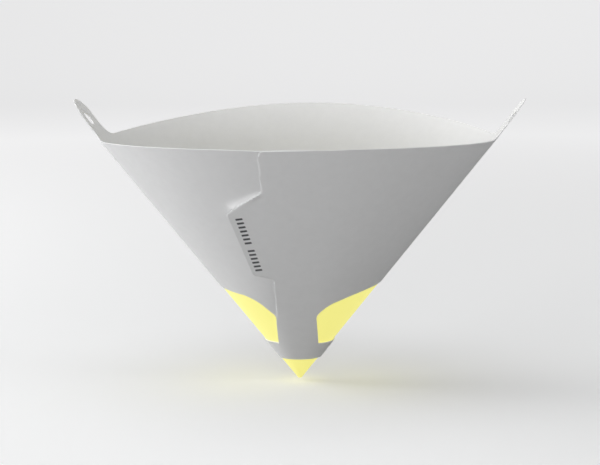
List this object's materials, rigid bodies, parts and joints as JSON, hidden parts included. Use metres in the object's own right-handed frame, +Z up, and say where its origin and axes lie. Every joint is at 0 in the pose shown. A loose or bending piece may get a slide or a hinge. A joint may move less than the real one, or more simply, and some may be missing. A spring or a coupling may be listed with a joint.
{
  "type": "paint strainer",
  "caption": "Paper cone strainer with hanging ears, a glued front lap with a tab, and a yellow mesh filter tip showing through windows.",
  "frame": {"origin": "on the level of the cone's point, under the middle of the mouth; the point is 4.65 mm behind it, towards +Y", "axes": "+Z up to the mouth, X through the two hanging ears, -Y towards the glued lap at the front"},
  "size_m": [0.1864, 0.1461, 0.1164],
  "materials": {
    "white_paper": "matte",
    "yellow_mesh": "matte"
  },
  "bodies": {
    "root": {"paper_cone": "white_paper", "mesh_cone": "yellow_mesh"}
  },
  "joints": []
}
